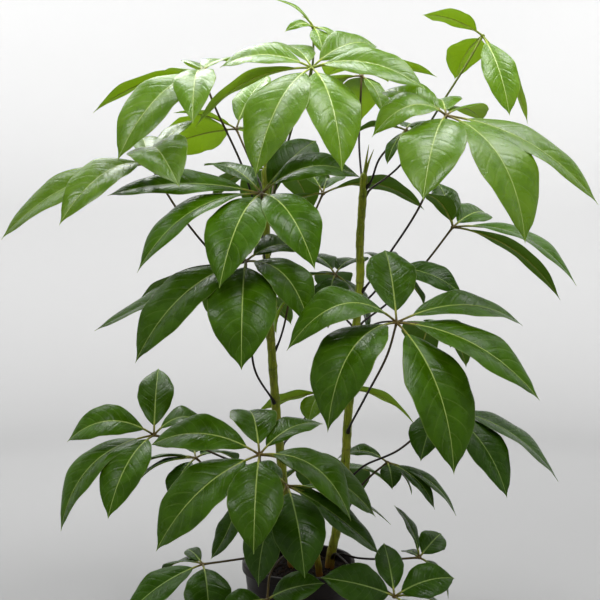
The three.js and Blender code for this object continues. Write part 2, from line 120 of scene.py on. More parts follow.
def mesh_piece(name, skins, materials, slot, nodes):
    """One mesh object of closed skins, given as (skin, number of its material), in millimetres. Their points
    follow one another, first all quads and then all fans. With a slot, it rides on the plant's one body and
    stands for the CAD nodes."""
    offsets = np.cumsum([0] + [len(s["points"]) for s, _ in skins])
    points = np.vstack([s["points"] for s, _ in skins]) / 1000
    quads = np.vstack([s["quads"] + o for (s, _), o in zip(skins, offsets)])
    fans = np.vstack([s["fans"] + o for (s, _), o in zip(skins, offsets)])
    corners = np.concatenate([quads.ravel(), fans.ravel()])
    starts = np.concatenate([4 * np.arange(len(quads)), 4 * len(quads) + 3 * np.arange(len(fans))])
    numbers = np.concatenate([np.full(len(s[kind]), number)
                              for kind in ("quads", "fans") for s, number in skins])
    mesh = bpy.data.meshes.new(name)
    mesh.vertices.add(len(points))
    mesh.vertices.foreach_set("co", points.ravel())
    mesh.loops.add(len(corners))
    mesh.loops.foreach_set("vertex_index", corners.astype(np.int32))
    mesh.polygons.add(len(starts))
    mesh.polygons.foreach_set("loop_start", starts.astype(np.int32))
    mesh.polygons.foreach_set("material_index", numbers.astype(np.int32))
    for key in skins[0][0]["maps"]:
        layer = mesh.uv_layers.new(name=key)
        values = np.vstack([s["maps"][key] for s, _ in skins])
        layer.data.foreach_set("uv", values[corners].ravel())
    for material in materials:
        mesh.materials.append(material)
    mesh.update(calc_edges=True)
    mesh.shade_smooth()
    obj = bpy.data.objects.new(name, mesh)
    bpy.context.scene.collection.objects.link(obj)
    if slot:
        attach(obj, "root")
        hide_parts(*nodes)
    return obj


def rounded(corners, radius, steps=4):
    """A profile whose inner corners are rounded: each becomes a quadratic curve from a point `radius` before
    it to a point `radius` after it, or half way along where the side is short."""
    p = np.array(corners, float)
    before, at, after = p[:-2], p[1:-1], p[2:]
    reach_in = np.minimum(radius, np.linalg.norm(before - at, axis=1) / 2)[:, None]
    reach_out = np.minimum(radius, np.linalg.norm(after - at, axis=1) / 2)[:, None]
    start = at + (before - at) / np.linalg.norm(before - at, axis=1)[:, None] * reach_in
    end = at + (after - at) / np.linalg.norm(after - at, axis=1)[:, None] * reach_out
    t = np.linspace(0, 1, steps)[None, :, None]
    arcs = (1 - t) ** 2 * start[:, None] + 2 * t * (1 - t) * at[:, None] + t ** 2 * end[:, None]
    return np.vstack([p[:1], arcs.reshape(-1, 2), p[-1:]])


def turned(profile, around):
    """Rings of a profile of (radius, height) points turned about +Z. A profile that comes to the axis ends
    at the small pole ring, and the skin's fan closes it."""
    angle = np.linspace(0, 2 * np.pi, around, endpoint=False)
    r, z = np.array(profile, float).T
    return np.stack([r[:, None] * np.cos(angle), r[:, None] * np.sin(angle), z[:, None] + 0 * angle], axis=2)


def wall_radius(z):
    """The pot's outer radius on its tapering wall at a height."""
    return pot_foot_radius + (pot_mouth_radius - pot_foot_radius) * z / pot_height


def moulded_polypropylene():
    """Moulded black-brown polypropylene: a fine matt grain with a dull gloss, and dust that dries on the
    wall, most of it low down. The grain is coarser than the real one, so that it shows."""
    material, tree = new_finish("moulded_polypropylene")
    place = add(tree, "TexCoord").outputs["Object"]
    height = add(tree, "SeparateXYZ", {0: place}).outputs["Z"]
    grain = add(tree, "TexNoise", {"Vector": place, "Scale": 1000 / pot_grain, "Detail": 3}).outputs["Fac"]
    smears = add(tree, "TexNoise", {"Vector": place, "Scale": 1000 / pot_smear, "Detail": 5}).outputs["Fac"]
    low = add(tree, "MapRange", {0: height, 1: pot_height / 1000, 2: 0.0, 3: 0.15, 4: 0.6}).outputs[0]
    dusty = add(tree, "MapRange", {0: smears, 1: 0.5, 2: 0.75, 3: 0.0, 4: 0.35}).outputs[0]
    dust = add(tree, "Math", {0: low, 1: dusty}, operation="MULTIPLY").outputs[0]
    colour = add(tree, "Mix", {0: dust, 6: linear("#150b09"), 7: linear("#3c322c")},
                 data_type="RGBA").outputs[2]
    rough = add(tree, "MapRange", {0: smears, 1: 0.3, 2: 0.7, 3: 0.4, 4: 0.56}).outputs[0]
    bump = add(tree, "Bump", {"Height": grain, "Strength": 0.35, "Distance": 0.0002}).outputs[0]
    shader = add(tree, "BsdfPrincipled", {"Base Color": colour, "Roughness": rough, "Normal": bump,
                                          "Specular IOR Level": 0.22})
    add(tree, "OutputMaterial", {"Surface": shader.outputs[0]})
    return material


def nursery_pot():
    """The turned wall with rounded corners, and the drain holes cut through its floor."""
    lip_foot = pot_height - pot_lip_depth
    shoulder = lip_foot - pot_shoulder_drop
    mouth = wall_radius(lip_foot)
    profile = rounded([
        (pole_ring, 0), (pot_foot_radius - pot_chamfer, 0), (pot_foot_radius, pot_foot_bevel),
        (wall_radius(shoulder) - pot_shoulder_step, shoulder),
        (wall_radius(shoulder), shoulder + pot_shoulder_rise), (mouth, lip_foot),
        (pot_rim_radius - pot_lip_chamfer, lip_foot), (pot_rim_radius, lip_foot + pot_chamfer),
        (pot_rim_radius, pot_height), (pot_mouth_radius - pot_wall, pot_height),
        (mouth - pot_wall, lip_foot), (pot_foot_radius - pot_wall - pot_chamfer, 3 * pot_wall),
        (pot_foot_radius - 4 * pot_wall, pot_wall), (pole_ring, pot_wall),
    ], pot_edge_round)
    pot = mesh_piece("nursery_pot", [(skin(turned(profile, pot_around)), 0)],
                     [moulded_polypropylene()], None, [])
    angle = 2 * np.pi * np.arange(drain_count) / drain_count
    drill = turned([(drain_radius, -2 * pot_wall), (drain_radius, 3 * pot_wall)], drain_around)
    drills = [(skin(drill + drain_circle * np.array([math.cos(a), math.sin(a), 0])), 0) for a in angle]
    cutter = mesh_piece("drills", drills, [], None, [])
    cut = pot.modifiers.new("drain holes", "BOOLEAN")
    cut.object = cutter
    cut.solver = "EXACT"
    drilled = bpy.data.meshes.new_from_object(pot.evaluated_get(bpy.context.evaluated_depsgraph_get()))
    pot.modifiers.clear()
    pot.data = drilled
    bpy.data.objects.remove(cutter)
    drilled.shade_smooth()
    drilled.set_sharp_from_angle(angle=math.radians(crease_angle))
    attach(pot, "root")
    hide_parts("pot")


nursery_pot()


# ---- potting mix ----
# Bark and peat fill the pot to a finger below its lip, a little heaped towards the middle. The fine mix is
# one body, and loose chips of composted bark lie on it.

soil_top = 165
soil_crown = 5
soil_gap = 0.3
soil_foot_inset = 7
soil_bend_inset = 3.2
soil_edge_drop = 3
soil_rings = 46
soil_around = 128
clod_height = 1.6
mix_crumb = 3.5
chip_crumb = 2.2
peat_grain = 0.7143
chip_count = 420
chip_sizes = (2.5, 7.5)
chip_sides = 6
chips_reach = 84
chip_lift = 0.5


def clods(x, y, seed, waves=14, longest=46, shortest=7):
    """A smooth random height of about -1 to 1: a sum of sine waves over the plane, with random headings and
    phases, and lengths from the longest to the shortest."""
    dice = np.random.default_rng(seed)
    length = np.geomspace(longest, shortest, waves)
    heading, phase = dice.uniform(0, 2 * np.pi, (2, waves))
    steps = 2 * np.pi / length
    wave = np.sin(x[..., None] * steps * np.cos(heading) + y[..., None] * steps * np.sin(heading) + phase)
    return (wave * np.sqrt(length)).sum(axis=-1) / np.sqrt(length).sum() * 2


def soil_height(x, y):
    """The height of the mix's top at a place: a low crown with clods."""
    r = np.hypot(x, y)
    return soil_top + soil_crown * (1 - (r / pot_mouth_radius) ** 2) + clod_height * clods(x, y, 4)


def composted_bark(name, dark, light, crumb):
    """Damp composted bark and peat: nearly black and dull, in crumbs of two browns with a fine grain."""
    material, tree = new_finish(name)
    place = add(tree, "TexCoord").outputs["Object"]
    crumbs = add(tree, "TexVoronoi", {"Vector": place, "Scale": 1000 / crumb})
    shade = add(tree, "SeparateXYZ", {0: crumbs.outputs["Color"]}).outputs["X"]
    fine = add(tree, "TexNoise", {"Vector": place, "Scale": 1000 / peat_grain, "Detail": 4}).outputs["Fac"]
    share = add(tree, "Math", {0: shade, 1: fine}, operation="MULTIPLY").outputs[0]
    colour = add(tree, "Mix", {0: share, 6: linear(dark), 7: linear(light)}, data_type="RGBA").outputs[2]
    height = add(tree, "Math", {0: crumbs.outputs["Distance"], 1: fine}, operation="SUBTRACT").outputs[0]
    bump = add(tree, "Bump", {"Height": height, "Strength": 0.9, "Distance": 0.001}).outputs[0]
    shader = add(tree, "BsdfPrincipled", {"Base Color": colour, "Roughness": 0.95, "Normal": bump,
                                          "Specular IOR Level": 0.15})
    add(tree, "OutputMaterial", {"Surface": shader.outputs[0]})
    return material


def potting_mix():
    """The fill: up the inside of the pot's wall, then in over the top, whose height follows soil_height."""
    wall = wall_radius(soil_top) - pot_wall - 2 * soil_gap
    side = [(pole_ring, pot_wall + soil_gap), (pot_foot_radius - soil_foot_inset, pot_wall + soil_gap),
            (pot_foot_radius - soil_bend_inset, 3 * pot_wall + soil_gap), (wall, soil_top - soil_edge_drop)]
    top = [(r, soil_top) for r in np.linspace(wall, pole_ring, soil_rings)]
    rings = turned(side + top, soil_around)
    over = rings[len(side):]
    over[..., 2] = soil_height(over[..., 0], over[..., 1])
    mix = composted_bark("peat_mix", dark="#090605", light="#21150d", crumb=mix_crumb)
    mesh_piece("potting_mix", [(skin(rings), 0)], [mix], "soil", ["soil"])


def bark_chips():
    """Loose chips: six-sided ragged rings that swell and shrink again along the chip, squashed, tipped and
    turned at random, and laid on the mix."""
    dice = np.random.default_rng(11)
    around = np.linspace(0, 2 * np.pi, chip_sides, endpoint=False)
    share = np.array([0.12, 0.4, 0.72, 0.95])
    bulge = np.sqrt(1 - (2 * share - 1) ** 2)
    chips = []
    for _ in range(chip_count):
        length = dice.uniform(*chip_sizes)
        wide, thick = length * dice.uniform(0.3, 0.55), length * dice.uniform(0.12, 0.25)
        ragged = dice.uniform(0.75, 1.2, (len(share), chip_sides))
        chip = np.stack([(share[:, None] - 0.5) * length + 0 * around,
                         wide * bulge[:, None] * np.cos(around) * ragged,
                         thick * bulge[:, None] * np.sin(around) * ragged], axis=2)
        turn, tip = dice.uniform(0, 2 * np.pi), dice.normal(0, 0.3)
        tipping = np.array([[math.cos(tip), 0, math.sin(tip)], [0, 1, 0], [-math.sin(tip), 0, math.cos(tip)]])
        turning = np.array([[math.cos(turn), math.sin(turn), 0], [-math.sin(turn), math.cos(turn), 0],
                            [0, 0, 1]])
        placed = chip @ tipping @ turning
        radius, bearing = chips_reach * math.sqrt(dice.uniform()), dice.uniform(0, 2 * np.pi)
        x, y = radius * math.cos(bearing), radius * math.sin(bearing)
        z = float(soil_height(np.array(x), np.array(y))) + chip_lift
        chips.append((skin(placed + np.array([x, y, z])), 0))
    bark = composted_bark("bark_chips", dark="#140d08", light="#3a2618", crumb=chip_crumb)
    mesh_piece("bark_chips", chips, [bark], "soil", ["soil"])


potting_mix()
bark_chips()


# ---- canes ----
# Two tall canes and a low stem, upright green wood rooted in the mix, rough with breathing pores and ringed
# where old leaves fell. Each ends in the pointed sheaths of its newest leaves.

cane_around = 28
cane_step = 3
scar_spacing = 44
scar_height = 1.9
scar_swell = 0.8
scar_slant = 2.2
scar_wander = 17
scar_turn = 2.4
lowest_scar = 16
highest_scar = 20
scar_line_drop = 1.6
scar_line_width = 0.9
knot_waves = [(0.35, 0.11, 2), (0.25, 0.31, 1)]
sheath_radius = 3.4
sheath_root = 8
sheath_stations = 14
sheath_around = 10
bark_grain = 2.381
bark_patch = 38.46
pore_spacing = 3.846
cork_height = 50
canes = {
    "cane_left": {
        "axis": [(0, 12, 60), (-12, 10, 185), (-27, 6, 325), (-39, 2, 450), (-48, 0, 570), (-55, 0, 700),
                 (-57, 0, 815), (-57, 0, 880)],
        "foot": 8.6, "top": 6.8, "spikes": [(-5, -3, 30), (6, 4, 24)],
    },
    "cane_right": {
        "axis": [(48, 10, 60), (57, 8, 185), (68, 4, 240), (81, 0, 340), (88, 0, 453), (100, 0, 590),
                 (108, 0, 692), (107, 0, 745), (111, 0, 815), (114, 0, 870)],
        "foot": 8.6, "top": 6.8, "spikes": [(8, -2, 48), (17, 3, 40)],
    },
    "cane_low": {
        "axis": [(40, -34, 70), (37, -36, 165), (28, -44, 225), (8, -56, 290)],
        "foot": 6.5, "top": 5, "spikes": [(-4, -3, 16)],
    },
}


def curve_through(points, step=None, count=None):
    """Points evenly spaced along a smooth curve through the given ones: a cubic between each two, whose
    slopes come from the neighbours weighted by the square root of the distances."""
    p = np.array(points, float)
    p = np.vstack([2 * p[0] - p[1], p, 2 * p[-1] - p[-2]])
    knot = np.sqrt(np.linalg.norm(np.diff(p, axis=0), axis=1))[:, None]
    before, here, after = knot[:-2], knot[1:-1], knot[2:]
    a, b, c, d = p[:-3], p[1:-2], p[2:-1], p[3:]
    leave = ((b - a) / before - (c - a) / (before + here) + (c - b) / here) * here
    arrive = ((c - b) / here - (d - b) / (here + after) + (d - c) / after) * here
    t = np.linspace(0, 1, 40, endpoint=False)[None, :, None]
    fine = (b[:, None] * (2 * t**3 - 3 * t**2 + 1) + leave[:, None] * (t**3 - 2 * t**2 + t)
            + c[:, None] * (3 * t**2 - 2 * t**3) + arrive[:, None] * (t**3 - t**2)).reshape(-1, 3)
    fine = np.vstack([fine, p[-2]])
    length = np.concatenate([[0], np.cumsum(np.linalg.norm(np.diff(fine, axis=0), axis=1))])
    stations = np.linspace(0, length[-1], count or max(4, round(length[-1] / step) + 1))
    return np.stack([np.interp(stations, length, fine[:, k]) for k in range(3)], axis=1)


def unit(vectors):
    """Vectors divided by their lengths."""
    return vectors / np.linalg.norm(vectors, axis=-1, keepdims=True)


def round_stem(path, radius, around, guide, **maps):
    """A closed stem along a path. Its rings stand across the path, start from the guide direction, and have a
    radius for each station, or for each station and angle. A map is a pair of such numbers."""
    along = unit(np.gradient(path, axis=0))
    across = unit(guide - (along @ guide)[:, None] * along)
    other = np.cross(along, across)
    angle = np.linspace(0, 2 * np.pi, around, endpoint=False)
    radius = np.broadcast_to(np.reshape(radius, (len(path), -1)), (len(path), around))
    rings = path[:, None] + radius[..., None] * (across[:, None] * np.cos(angle)[None, :, None]
                                                 + other[:, None] * np.sin(angle)[None, :, None])
    grids = {key: np.stack(np.broadcast_arrays(*(np.reshape(m, (len(path), -1)) for m in pair), radius)[:2],
                           axis=2)
             for key, pair in maps.items()}
    return skin(rings, **grids)


def green_bark():
    """Young bark of the canes: dull olive green drawn out along the stem, pale pores, dark crescents where
    leaves fell, and brown cork at the foot."""
    material, tree = new_finish("green_bark")
    place = add(tree, "TexCoord").outputs["Object"]
    height = add(tree, "SeparateXYZ", {0: place}).outputs["Z"]
    scar = add(tree, "SeparateXYZ", {0: add(tree, "UVMap", uv_map="bark").outputs[0]}).outputs["X"]
    drawn = add(tree, "Mapping", {"Vector": place, "Scale": (1, 1, 0.09)}).outputs[0]
    streaks = add(tree, "TexNoise", {"Vector": drawn, "Scale": 1000 / bark_grain, "Detail": 4}).outputs["Fac"]
    patches = add(tree, "TexNoise", {"Vector": place, "Scale": 1000 / bark_patch, "Detail": 3}).outputs["Fac"]
    streak = add(tree, "MapRange", {0: streaks, 1: 0.35, 2: 0.65}).outputs[0]
    green = add(tree, "Mix", {0: streak, 6: linear("#525c08"), 7: linear("#8a9a12")},
                data_type="RGBA").outputs[2]
    patch = add(tree, "MapRange", {0: patches, 1: 0.42, 2: 0.7, 3: 0.0, 4: 0.6}).outputs[0]
    green = add(tree, "Mix", {0: patch, 6: green, 7: linear("#98952a")}, data_type="RGBA").outputs[2]
    stretched = add(tree, "Mapping", {"Vector": place, "Scale": (1, 1, 0.45)}).outputs[0]
    cells = add(tree, "TexVoronoi", {"Vector": stretched, "Scale": 1000 / pore_spacing}).outputs["Distance"]
    pores = add(tree, "MapRange", {0: cells, 1: 0.12, 2: 0.24, 3: 0.65, 4: 0.0}).outputs[0]
    green = add(tree, "Mix", {0: pores, 6: green, 7: linear("#a59a62")}, data_type="RGBA").outputs[2]
    cork = add(tree, "MapRange", {0: height, 1: (soil_top + cork_height) / 1000,
                                  2: soil_top / 1000}).outputs[0]
    green = add(tree, "Mix", {0: cork, 6: green, 7: linear("#7a4a1a")}, data_type="RGBA").outputs[2]
    healed = add(tree, "Math", {0: scar, 1: 0.5}, operation="MULTIPLY").outputs[0]
    colour = add(tree, "Mix", {0: healed, 6: green, 7: linear("#3a2a12")}, data_type="RGBA").outputs[2]
    raised = add(tree, "Math", {0: streaks, 1: pores}, operation="ADD").outputs[0]
    bump = add(tree, "Bump", {"Height": raised, "Strength": 0.5, "Distance": 0.0006}).outputs[0]
    shader = add(tree, "BsdfPrincipled", {"Base Color": colour, "Roughness": 0.5, "Normal": bump,
                                          "Specular IOR Level": 0.3})
    add(tree, "OutputMaterial", {"Surface": shader.outputs[0]})
    return material


def grown_cane(name, cane, bark, seed):
    """The cane as rings along its axis. Its radius tapers from foot to top, with knots: waves that wind up
    the cane, given as height, turn per millimetre and count round it. At each old leaf scar it swells in a
    crescent that is highest on one side, and the bark map marks a line under it. Pointed sheaths stand at
    its tip."""
    dice = np.random.default_rng(seed)
    path = curve_through(cane["axis"], step=cane_step)
    along = np.linspace(0, 1, len(path))
    heights = np.arange(soil_top + lowest_scar, cane["axis"][-1][2] - highest_scar, scar_spacing)
    heights = heights + dice.uniform(-scar_wander, scar_wander, len(heights))
    facing = np.arange(len(heights)) * scar_turn + dice.uniform(0, 0.8, len(heights))
    angle = np.linspace(0, 2 * np.pi, cane_around, endpoint=False)
    z = path[:, 2][:, None]
    gap = z[..., None] - heights - scar_slant * np.cos(angle[None, :, None] - facing)
    one_sided = 0.35 + 0.65 * (0.5 + 0.5 * np.cos(angle[:, None] - facing))
    crescent = (np.exp(-(gap / scar_height) ** 2) * one_sided).max(axis=2)
    line = np.exp(-((gap + scar_line_drop) / scar_line_width) ** 2).max(axis=2)
    knots = sum(high * np.sin(z * winding + lobes * angle) for high, winding, lobes in knot_waves)
    radius = (cane["foot"] + (cane["top"] - cane["foot"]) * along)[:, None] + scar_swell * crescent + knots
    tip = np.clip((1 - along) * len(path) / 3, 0, 1)
    radius = radius * (0.35 + 0.65 * np.sqrt(tip))[:, None]
    skins = [(round_stem(path, radius, cane_around, np.array([1.0, 0, 0]), bark=(line, along)), 0)]
    top = np.array(cane["axis"][-1], float)
    for offset in cane["spikes"]:
        end = top + offset
        foot = top - (0, 0, sheath_root)
        spike = curve_through([foot, (foot + end) / 2 + (0, 0, 3), end], count=sheath_stations)
        share = np.linspace(0, 1, sheath_stations)
        sheath = sheath_radius * np.sqrt(np.clip(1 - share, 0.02, 1)) * (1 - 0.35 * share)
        skins.append((round_stem(spike, sheath, sheath_around, np.array([1.0, 0, 0]),
                                 bark=(0 * share, share)), 0))
    mesh_piece(name + ".bark", skins, [bark], "bark", [name])


cane_bark = green_bark()
for number, (cane_name, cane) in enumerate(canes.items()):
    grown_cane(cane_name, cane, cane_bark, 30 + number)


# ---- young leaves of the crown ----
# Palmate leaves, each a long stalk with three to eight glossy leaflets spread from its end like umbrella
# ribs. Grown this season, nearly all of them at the top, they are still a light yellow-green, and the light
# comes through them. Each leaf is one piece, and its stalk clasps the bark.

stalk_radius = 1.9
stalk_foot_radius = 4.4
stalk_foot_reach = 9
stalk_bury = 3
stalk_clear = 6
stalk_rise = 8
stalk_step = 6
stalk_patch = 8.333
hub_radius = 4.2
hub_squash = 0.75
hub_swell = 0.7
hub_reach = 7
ribs_around = 10
stalks_around = 12
blade_rows = 46
blade_columns = 21
blade_thickness = 0.7
rib_share = 0.11
rib_radius = 1.65
rib_taper = 0.8
rib_rows = 40
blade_fold = 0.44
blade_curl = 0.32
fold_softness = 0.002
fold_rest = 0.045
wave_height = 0.055
wave_turns = 2.2
wave_step = 2.4
wave_split = 1.3
side_veins = 9
vein_lean = 0.13
vein_bow = 0.09
vein_stagger = 0.18
vein_lift = 0.15
midrib_half = 1.5
midrib_taper = 0.72
margin_wander = 0.012
age_spread = 0.2
leaf_patch = 23.81
leaf_quilt = 6.667
leaf_cell = 1.923


def leaf_stalk(name, low, middle, high):
    """The skin of stalk and ribs, dull and smooth. The low colour turns to the middle one on the way up the
    stalk, and past the hub to the high one, the pale green of the midrib."""
    material, tree = new_finish(name)
    place = add(tree, "TexCoord").outputs["Object"]
    station = add(tree, "SeparateXYZ", {0: add(tree, "UVMap", uv_map="lamina").outputs[0]}).outputs["Y"]
    mottle = add(tree, "TexNoise", {"Vector": place, "Scale": 1000 / stalk_patch, "Detail": 4}).outputs["Fac"]
    upper = add(tree, "MapRange", {0: station, 1: 0.4, 2: 0.97}).outputs[0]
    ribs = add(tree, "MapRange", {0: station, 1: 1.03, 2: 1.16}).outputs[0]
    colour = add(tree, "Mix", {0: upper, 6: linear(low), 7: linear(middle)}, data_type="RGBA").outputs[2]
    colour = add(tree, "Mix", {0: ribs, 6: colour, 7: linear(high)}, data_type="RGBA").outputs[2]
    shade = add(tree, "MapRange", {0: mottle, 1: 0.3, 2: 0.7, 3: 0.75, 4: 1.25}).outputs[0]
    colour = add(tree, "HueSaturation", {"Color": colour, "Value": shade}).outputs[0]
    bump = add(tree, "Bump", {"Height": mottle, "Strength": 0.3, "Distance": 0.0004}).outputs[0]
    shader = add(tree, "BsdfPrincipled", {"Base Color": colour, "Roughness": 0.5, "Normal": bump,
                                          "Specular IOR Level": 0.3})
    add(tree, "OutputMaterial", {"Surface": shader.outputs[0]})
    return material


def waxy_blade(name, deep, light, under, vein, glow, through, gloss):
    """A leaflet's blade. Its upper face has a waxy skin that mirrors the sky softly, a pale midrib, and faint
    side veins in hollows. The under face is paler and dull, and light shines through in yellow-green. The
    cells between the finest veins are drawn larger than they are, so that they show."""
    material, tree = new_finish(name)
    place = add(tree, "TexCoord").outputs["Object"]
    lamina = add(tree, "SeparateXYZ", {0: add(tree, "UVMap", uv_map="lamina").outputs[0]})
    veining = add(tree, "SeparateXYZ", {0: add(tree, "UVMap", uv_map="veining").outputs[0]})
    leaflet = add(tree, "SeparateXYZ", {0: add(tree, "UVMap", uv_map="leaflet").outputs[0]})
    outward = add(tree, "Math", {0: lamina.outputs["X"]}, operation="ABSOLUTE").outputs[0]
    midway = add(tree, "Math", {0: veining.outputs["Y"]}, operation="ABSOLUTE").outputs[0]
    nearest = add(tree, "Math", {0: veining.outputs["X"], 1: 0.5}, operation="PINGPONG").outputs[0]
    line = add(tree, "MapRange", {0: nearest, 1: 0.0, 2: 0.045, 3: 1.0, 4: 0.0},
               interpolation_type="SMOOTHSTEP").outputs[0]
    hollow = add(tree, "MapRange", {0: nearest, 1: 0.0, 2: 0.2, 3: 1.0, 4: 0.0},
                 interpolation_type="SMOOTHSTEP").outputs[0]
    fade = add(tree, "MapRange", {0: outward, 1: 0.6, 2: 0.93, 3: 1.0, 4: 0.0}).outputs[0]
    side_vein = add(tree, "Math", {0: line, 1: fade}, operation="MULTIPLY").outputs[0]
    midrib = add(tree, "MapRange", {0: midway, 1: 0.75, 2: 1.15, 3: 1.0, 4: 0.0},
                 interpolation_type="SMOOTHSTEP").outputs[0]
    # Painted highlight: a pale line along every margin of the blade, on both faces.
    margin = add(tree, "MapRange", {0: outward, 1: 0.965, 2: 0.992, 3: 0.0, 4: 0.55}).outputs[0]
    patches = add(tree, "TexNoise", {"Vector": place, "Scale": 1000 / leaf_patch, "Detail": 5}).outputs["Fac"]
    cells = add(tree, "TexNoise", {"Vector": place, "Scale": 1000 / leaf_cell, "Detail": 3}).outputs["Fac"]
    quilts = add(tree, "TexNoise", {"Vector": place, "Scale": 1000 / leaf_quilt, "Detail": 2}).outputs["Fac"]
    patch = add(tree, "MapRange", {0: patches, 1: 0.32, 2: 0.68}).outputs[0]
    upper = add(tree, "Mix", {0: patch, 6: linear(deep), 7: linear(light)}, data_type="RGBA").outputs[2]
    faint = add(tree, "Math", {0: side_vein, 1: 0.2}, operation="MULTIPLY").outputs[0]
    upper = add(tree, "Mix", {0: faint, 6: upper, 7: linear(vein)}, data_type="RGBA").outputs[2]
    face = leaflet.outputs["X"]
    colour = add(tree, "Mix", {0: face, 6: linear(under), 7: upper}, data_type="RGBA").outputs[2]
    colour = add(tree, "Mix", {0: midrib, 6: colour, 7: linear(vein)}, data_type="RGBA").outputs[2]
    # The painted margin highlight goes on here.
    colour = add(tree, "Mix", {0: margin, 6: colour, 7: linear(vein)}, data_type="RGBA").outputs[2]
    shade = add(tree, "MapRange", {0: leaflet.outputs["Y"], 1: 0.0, 2: 1.0, 3: 1.25, 4: 0.7}).outputs[0]
    colour = add(tree, "HueSaturation", {"Color": colour, "Value": shade}).outputs[0]
    dull = add(tree, "MapRange", {0: patches, 1: 0.3, 2: 0.7, 3: 0.2, 4: 0.36}).outputs[0]
    rough = add(tree, "Mix", {0: face, 2: 0.6, 3: dull}).outputs[0]
    sunk = add(tree, "Math", {0: hollow, 1: fade}, operation="MULTIPLY").outputs[0]
    deeper = add(tree, "Math", {0: midrib, 1: 1.2}, operation="MULTIPLY").outputs[0]
    relief = add(tree, "Math", {0: cells, 1: sunk}, operation="SUBTRACT").outputs[0]
    relief = add(tree, "Math", {0: relief, 1: deeper}, operation="SUBTRACT").outputs[0]
    raised = add(tree, "Math", {0: patches, 1: quilts}, operation="ADD").outputs[0]
    raised = add(tree, "Math", {0: raised, 1: 2.0}, operation="MULTIPLY").outputs[0]
    relief = add(tree, "Math", {0: relief, 1: raised}, operation="ADD").outputs[0]
    bump = add(tree, "Bump", {"Height": relief, "Strength": 0.5, "Distance": 0.0005}).outputs[0]
    shader = add(tree, "BsdfPrincipled", {"Base Color": colour, "Roughness": rough, "Normal": bump,
                                          "Specular IOR Level": gloss})
    lit = add(tree, "Mix", {0: faint, 6: linear(glow), 7: linear(vein)}, data_type="RGBA").outputs[2]
    glowing = add(tree, "BsdfTranslucent", {"Color": lit, "Normal": bump})
    both = add(tree, "MixShader", {0: through, 1: shader.outputs[0], 2: glowing.outputs[0]})
    add(tree, "OutputMaterial", {"Surface": both.outputs[0]})
    return material


def outline(u):
    """Half-width at each share of a blade's length, for a greatest half-width of about 1: a full oval, drawn
    out over its last tenth into a drip tip."""
    oval = np.sin(np.pi * u ** 0.97) ** 0.78 * (1 - 0.5 * u ** 8)
    drip = np.clip((1 - u) / 0.1, 0, 1)
    return oval * (0.25 + 0.75 * drip ** 0.8)


